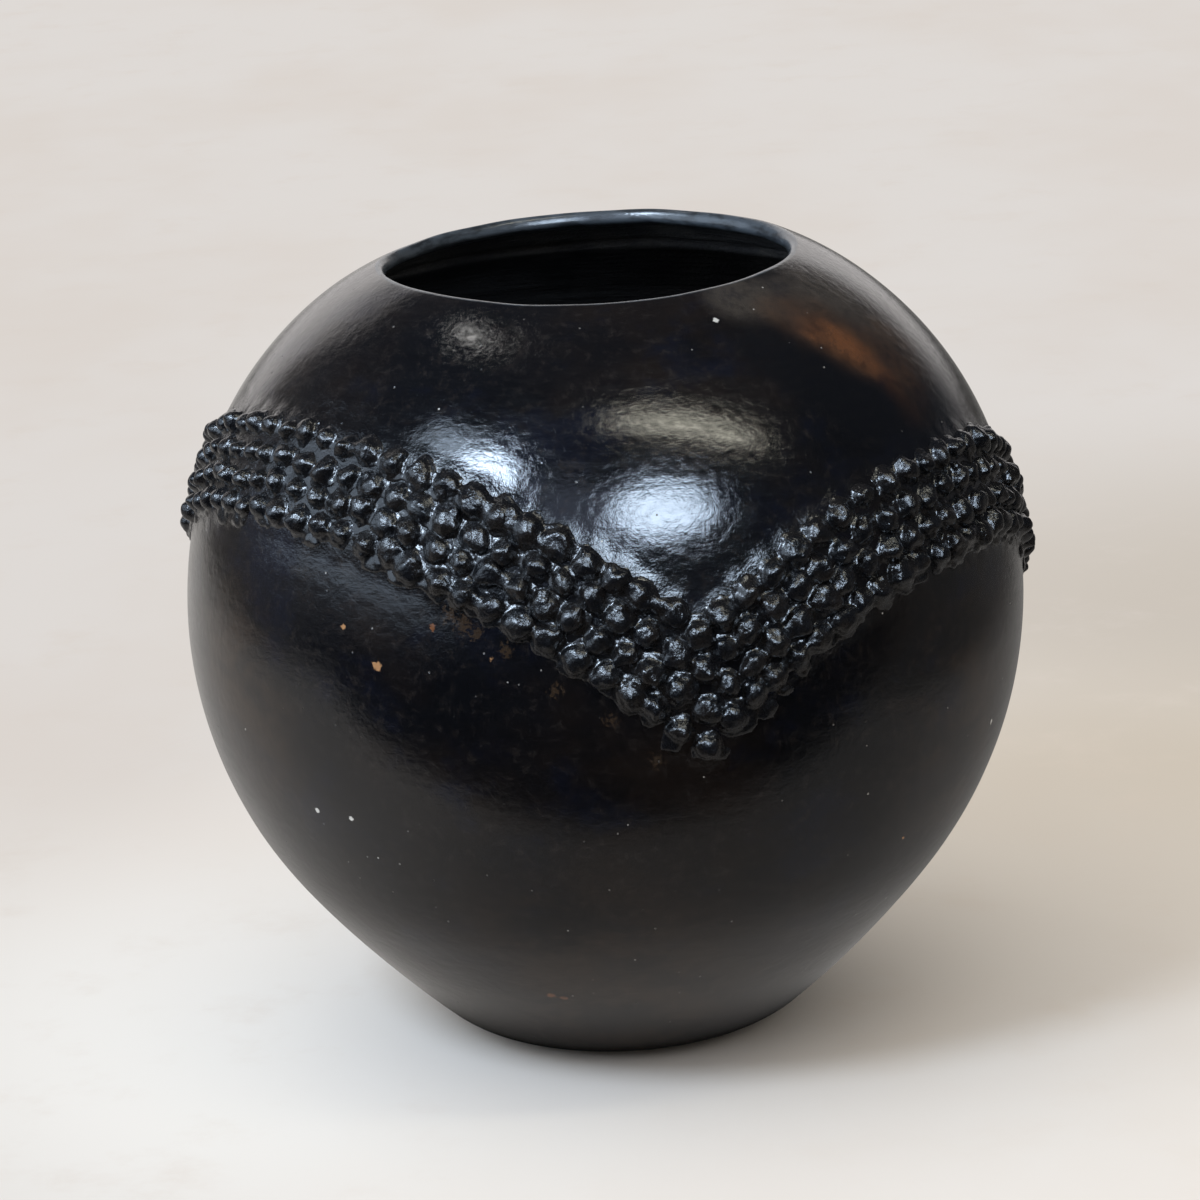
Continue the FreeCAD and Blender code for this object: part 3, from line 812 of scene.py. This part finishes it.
def stone_relief(paint, place, flat, garland, pore):
    """The bumps that are too small for the mesh: stone strokes, pebbling, grit and pits."""
    curl = paint.node("ShaderNodeVectorMath", operation="ADD")
    paint.link(paint.scaled(flat, (240, 240, 1300)), curl.inputs[0])
    paint.link(paint.times(paint.noise(place, 26.0, 2.0), 26.0), curl.inputs[1])
    strokes = paint.noise(curl.outputs[0], 1.0, 3.0, 0.6, 0.5)
    crossed = paint.noise(place, 300.0, 5.0, 0.68, 0.8)
    broad = paint.noise(paint.scaled(flat, (85, 85, 190)), 1.0, 3.0, 0.55)
    grit = paint.times(paint.noise(place, 800.0, 3.0, 0.6),
                       paint.plus(paint.times(garland, 2.4), 0.06))
    normal = None
    for height, depth in ((broad, 0.00020), (strokes, 0.000040), (crossed, 0.00022),
                          (grit, 0.00020), (paint.times(pore, -1.0), 0.00020)):
        normal = paint.bump(height, 0.5, depth, normal)
    return normal


def burnished():
    """Blackened clay, burnished with a stone: fine level strokes, fire clouds, pits and dust."""
    paint = Paint("burnished_clay")
    place, flat = paint.place(), paint.attribute("unrolled", "Vector")
    lip, garland = paint.attribute("lip"), paint.attribute("garland")
    patches = paint.noise(place, 11.0, 4.0, 0.6)
    fine = paint.noise(place, 240.0, 5.0, 0.7)
    color = smoked(paint, place, flat, patches, fine)
    color = lip_wear_and_sheen(paint, flat, lip, color)
    color, pore = dusty_pores(paint, place, color)
    color = chipped(paint, place, color)
    # streaky and mottled gloss, duller near the garland, in the pores and on the lip
    streaks = paint.noise(paint.scaled(flat, (80, 80, 420)), 1.0, 4.0, 0.6, 0.6)
    rough = paint.plus(paint.ramp(streaks, 0.3, 0.7, 0.12, 0.20),
                       paint.ramp(patches, 0.35, 0.7, -0.02, 0.05),
                       paint.times(garland, 0.04), paint.times(pore, 0.3),
                       paint.times(lip, 0.18))
    normal = stone_relief(paint, place, flat, garland, pore)
    paint.surface(color, rough, normal)
    paint.coat(0.80, 0.060, normal)
    return paint.material


def inside_clay():
    """The inside: unburnished and finger-wiped, dark below the ledge as painted shade and grey on
    the band under the lip as painted light.
    """
    paint = Paint("inside_clay")
    place, flat = paint.place(), paint.attribute("unrolled", "Vector")
    patches = paint.noise(place, 40.0, 5.0, 0.65)
    mottled = paint.ramp(patches, 0.35, 0.7)
    painted_shade_below = paint.mix(mottled, (0.010, 0.009, 0.0085, 1), (0.024, 0.020, 0.017, 1))
    painted_light_under_lip = paint.mix(mottled, (0.085, 0.087, 0.094, 1), (0.165, 0.160, 0.155, 1))
    # painted shade below the ledge, 25 to 30 mm down from the lip, and painted light on the band
    # above it
    color = paint.mix(paint.fade(paint.attribute("depth"), 25.0, 30.0), painted_shade_below, painted_light_under_lip)
    wipes = paint.noise(paint.scaled(flat, (40, 40, 420)), 1.0, 4.0, 0.6)
    grain = paint.noise(place, 620.0, 3.0)
    normal = paint.bump(grain, 0.7, 0.0005, paint.bump(wipes, 0.7, 0.0012))
    paint.surface(color, paint.ramp(patches, 0.3, 0.7, 0.62, 0.85), normal)
    return paint.material


def pellet_clay():
    """The pellets: black and glossy, worn and grainy on their tops, dusty where they meet."""
    paint = Paint("pellet_clay")
    place, rise = paint.place(), paint.attribute("rise")
    top = paint.ramp(rise, 1.0, 3.6)
    patches = paint.noise(place, 150.0, 4.0, 0.6)
    color = paint.mix(paint.ramp(patches, 0.4, 0.65), (0.0042, 0.0046, 0.0060, 1),
                      (0.0085, 0.0072, 0.0068, 1))
    dust = paint.ramp(paint.noise(place, 420.0, 4.0, 0.65), 0.54, 0.76)
    dusty = paint.times(paint.fade(rise, 0.3, 1.3), dust, 0.30)
    color = paint.mix(dusty, color, (0.050, 0.038, 0.028, 1))
    grain = paint.noise(place, 1300.0, 4.0, 0.65)
    rough = paint.plus(paint.ramp(top, 0.0, 1.0, 0.27, 0.22),
                       paint.ramp(grain, 0.35, 0.65, -0.07, 0.07))
    lumps = paint.noise(place, 420.0, 3.0, 0.55)
    sparkle = paint.times(paint.noise(place, 950.0, 3.0, 0.6),
                          paint.plus(paint.times(top, 0.8), 0.2))
    normal = paint.bump(sparkle, 0.8, 0.00030, paint.bump(lumps, 0.6, 0.00045))
    paint.surface(color, rough, normal)
    paint.coat(0.75, 0.09, normal)
    return paint.material


# --- the room ---------------------------------------------------------------------------------

PALE = (0.735, 0.700, 0.672, 1)
PALE_WARM = (0.700, 0.640, 0.590, 1)
PALE_PAINTED_SHADE = (0.600, 0.545, 0.480, 1)
PALE_PAINTED_LIGHT = (0.815, 0.800, 0.775, 1)
ROOM = (0.735, 0.700, 0.672, 1)
FLOOR_SIZE = 14.0
FLOOR_DROP = 0.0003


def floor_color(paint, place):
    """Pale and softly mottled, with painted shade behind on the right and painted light on the
    left.
    """
    clouds = paint.noise(paint.scaled(place, (3.2, 2.0, 1.0)), 1.0, 4.0, 0.55)
    mottle = paint.noise(place, 16.0, 6.0, 0.66)
    color = paint.mix(paint.ramp(clouds, 0.40, 0.66, 0.0, 0.6), PALE, PALE_WARM)
    # painted shade behind on the right, painted light on the left
    for tint, spot, soft in ((PALE_PAINTED_SHADE, (0.36, 0.45, 0.0), 0.40),
                             (PALE_PAINTED_LIGHT, (-0.34, -0.06, 0.0), 0.36)):
        color = paint.mix(paint.times(paint.near(place, spot, 0.08, soft), 0.9), color, tint)
    return paint.mix(paint.ramp(mottle, 0.50, 0.78, 0.0, 0.5), color, PALE_WARM)


def mirrored_level(paint, place):
    """How bright gloss sees the sheet, which ends in front of the pot: a painted glow, lit from the
    left, with painted shadow right under the foot and painted light just around it.
    """
    across, deep, _ = paint.parts(place)
    far = paint.distance(place, (0.0, 0.0, 0.0))
    return paint.times(paint.ramp(across, -0.26, -0.02, 0.33, 0.15),
                       paint.ramp(across, 0.40, 0.60, 1.1, 0.40),
                       paint.ramp(across, -1.5, -0.65, 0.18, 1.0),
                       paint.ramp(deep, 0.10, 0.70, 1.0, 1.25),
                       paint.ramp(deep, -0.30, -0.23),
                       paint.ramp(far, 0.09, 0.17, 1.5, 1.0),
                       paint.ramp(far, 0.062, 0.092, 0.02, 1.0))


def make_floor():
    """A large pale sheet.  Far from the pot the camera sees its plain colour, not the lamps."""
    mesh = bpy.data.meshes.new("floor")
    corners = [(x * FLOOR_SIZE, y * FLOOR_SIZE, 0) for x, y in ((-1, -1), (1, -1), (1, 1), (-1, 1))]
    mesh.from_pydata(corners, [], [(0, 1, 2, 3)])
    floor = add_object("floor", mesh)
    floor.location.z = -FLOOR_DROP
    paint = Paint("pale_floor")
    place = paint.place()
    color = floor_color(paint, place)
    # the lamps are a little blue, so the lit colour is a little warm
    lit = paint.mix(1.0, color, (1.02, 0.99, 0.95, 1), blend_type="MULTIPLY")
    paint.link(lit, paint.shader.inputs["Base Color"])
    paint.shader.inputs["Roughness"].default_value = 0.9
    paint.shader.inputs["Specular IOR Level"].default_value = 0.0
    rays = paint.node("ShaderNodeLightPath").outputs
    plain = paint.times(paint.ramp(paint.distance(place, (0.13, 0.04, 0.0)), 0.20, 0.46),
                        rays["Is Camera Ray"])
    surface = paint.cover(plain, paint.shader.outputs[0], paint.glow(color, 1.0))
    mirrored = paint.glow((1.0, 0.96, 0.92, 1), mirrored_level(paint, place))
    surface = paint.cover(rays["Is Glossy Ray"], surface, mirrored)
    paint.link(surface, paint.nodes["Material Output"].inputs["Surface"])
    mesh.materials.append(paint.material)


def make_world():
    """A pale room for the camera, lighter on the left.  Gloss sees it pale low behind the pot."""
    world = bpy.data.worlds.new("room")
    bpy.context.scene.world = world
    room = Graph(world)
    way = room.node("ShaderNodeTexCoord").outputs["Generated"]
    across, deep, height = room.parts(way)
    behind = room.times(room.ramp(deep, 0.05, 0.50), room.ramp(across, 0.30, 0.68, 1.0, 0.08),
                        room.ramp(room.math("DIVIDE", across, deep), -0.80, -0.62, 0.06, 1.0))
    tilted = room.plus(height, room.ramp(across, 0.0, 0.6, 0.0, 0.33))
    low = room.times(behind, room.fade(tilted, 0.40, 0.58))
    left = room.times(room.ramp(across, -0.95, -0.55, 0.12, 0.0), room.fade(height, 0.15, 0.35))
    glossy = room.mix(room.math("MAXIMUM", low, left), (0.020, 0.023, 0.030, 1),
                      (0.74, 0.71, 0.70, 1))
    soft = room.mix(room.ramp(across, -0.80, 0.60), (1.12, 1.09, 1.04, 1),
                    (0.82, 0.805, 0.77, 1))
    front = room.times(room.ramp(deep, -0.60, -0.15, 0.72, 0.0), room.fade(height, 0.30, 0.70))
    soft = room.mix(front, soft, (0.0, 0.0, 0.0, 1))
    rays = room.node("ShaderNodeLightPath").outputs
    seen = room.mix(rays["Is Camera Ray"], soft, ROOM)
    background = room.nodes["Background"]
    room.link(room.mix(rays["Is Glossy Ray"], seen, glossy), background.inputs["Color"])
    background.inputs["Strength"].default_value = 1.0


def direction(azimuth, elevation):
    """A direction from the pot, azimuth 0 to the front and positive to the right, in degrees."""
    turn, lift = math.radians(azimuth), math.radians(elevation)
    return Vector((math.sin(turn) * math.cos(lift), -math.cos(turn) * math.cos(lift),
                   math.sin(lift)))


LAMP_DISTANCE = 1.7
WINDOW_BLUE = (0.66, 0.81, 1.0)
SKY_BLUE = (0.62, 0.72, 1.0)
SUNLIT = (1.0, 0.97, 0.82)
DAYLIGHT = (1.0, 0.98, 0.95)


def make_lamp(name, way, size, radiance, color, aim, along=None, shape="RECTANGLE"):
    """A soft window of light in a direction from a point of the pot, with a set brightness.

    size is its width and height at LAMP_DISTANCE, along the direction of its width.
    """
    light = bpy.data.lights.new(name, "AREA")
    light.shape = shape
    light.size, light.size_y = size
    area = size[0] * size[1] * (math.pi / 4.0 if shape == "ELLIPSE" else 1.0)
    light.energy = radiance * math.pi * area
    light.color = color
    lamp = add_object(name, light)
    along = along or Vector((0.0, 0.0, 1.0)).cross(way)
    across = way.cross(along).normalized()
    along = across.cross(way)
    turn = Matrix((along, across, way)).transposed().to_4x4()
    lamp.matrix_world = Matrix.Translation(Vector(aim) + way * LAMP_DISTANCE) @ turn
    lamp.visible_camera = False
    return lamp


def make_lamps():
    """Two windows, and the weak patches of light that the upper skin shows."""
    right = make_lamp("window_right", direction(20.0, 36.0), (0.78, 0.52), 16.0, WINDOW_BLUE,
                      (0.021, -0.143, 0.240), shape="ELLIPSE")
    right.visible_diffuse = False
    make_lamp("window_left", direction(-44.0, 46.0), (0.48, 0.46), 30.0, WINDOW_BLUE,
              (-0.050, -0.140, 0.235), shape="ELLIPSE")
    make_lamp("window_left_edge", direction(-57.0, 47.0), (0.80, 0.50), 5.0, WINDOW_BLUE,
              (-0.060, -0.130, 0.235))
    make_lamp("window_left_wide", direction(-75.0, 24.0), (2.40, 0.85), 1.5, WINDOW_BLUE,
              (-0.100, -0.100, 0.215))
    make_lamp("window_glow", direction(-14.0, 38.0), (1.30, 0.60), 0.55, SKY_BLUE,
              (-0.010, -0.143, 0.240))
    make_lamp("sunlit_wall", Vector((0.354, -0.331, 0.875)).normalized(), (1.22, 0.17), 7.0,
              SUNLIT, (0.037, -0.105, 0.262), Vector((0.708, 0.085, -0.244)), "ELLIPSE")
    make_lamp("far_window", direction(-139.0, 63.0), (0.22, 0.11), 5.5, DAYLIGHT,
              (-0.050, -0.060, 0.288), Vector((0.054, -0.190, 0.092)))


def make_camera():
    """The photograph's view."""
    lift = math.radians(ELEVATION)
    back = Vector((0.0, -math.cos(lift), math.sin(lift)))
    right = Vector((1.0, 0.0, 0.0))
    up = back.cross(right)
    target = Vector((0.0, 0.0, TARGET_Z))
    data = bpy.data.cameras.new("camera")
    camera = add_object("camera", data)
    data.sensor_width = 36.0
    data.lens = LENS
    place = target + back * DISTANCE
    roll = math.radians(ROLL)
    view_right = right * math.cos(roll) - up * math.sin(roll)
    view_up = right * math.sin(roll) + up * math.cos(roll)
    aim = target + view_up * AIM_UP + view_right * AIM_RIGHT
    z_axis = (place - aim).normalized()
    x_axis = view_up.cross(z_axis).normalized()
    y_axis = z_axis.cross(x_axis)
    turn = Matrix((x_axis, y_axis, z_axis)).transposed()
    camera.matrix_world = Matrix.Translation(place) @ turn.to_4x4()
    bpy.context.scene.camera = camera


def lowest_rows():
    """The lowest row of each arch."""
    heights = {name: sum(z for _, z, _ in SEATS[name]) / len(SEATS[name]) for name in ROW_NODES}
    arches = {name.rsplit("_", 1)[0] for name in ROW_NODES}
    return {min((name for name in ROW_NODES if name.startswith(arch)), key=heights.get)
            for arch in arches}


def main():
    skin = make_skin()
    skin.data.materials.append(burnished())
    skin.data.materials.append(inside_clay())
    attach(skin, "root")
    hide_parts(*WALL_NODES)
    pellets = pellet_clay()
    lowest = lowest_rows()
    for name in ROW_NODES:
        row = make_row(name, name in lowest)
        row.data.materials.clear()
        row.data.materials.append(pellets)
        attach(row, "root")
        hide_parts(name)
    make_floor()
    make_world()
    make_lamps()
    make_camera()
    bpy.context.scene.view_settings.view_transform = "Standard"


main()
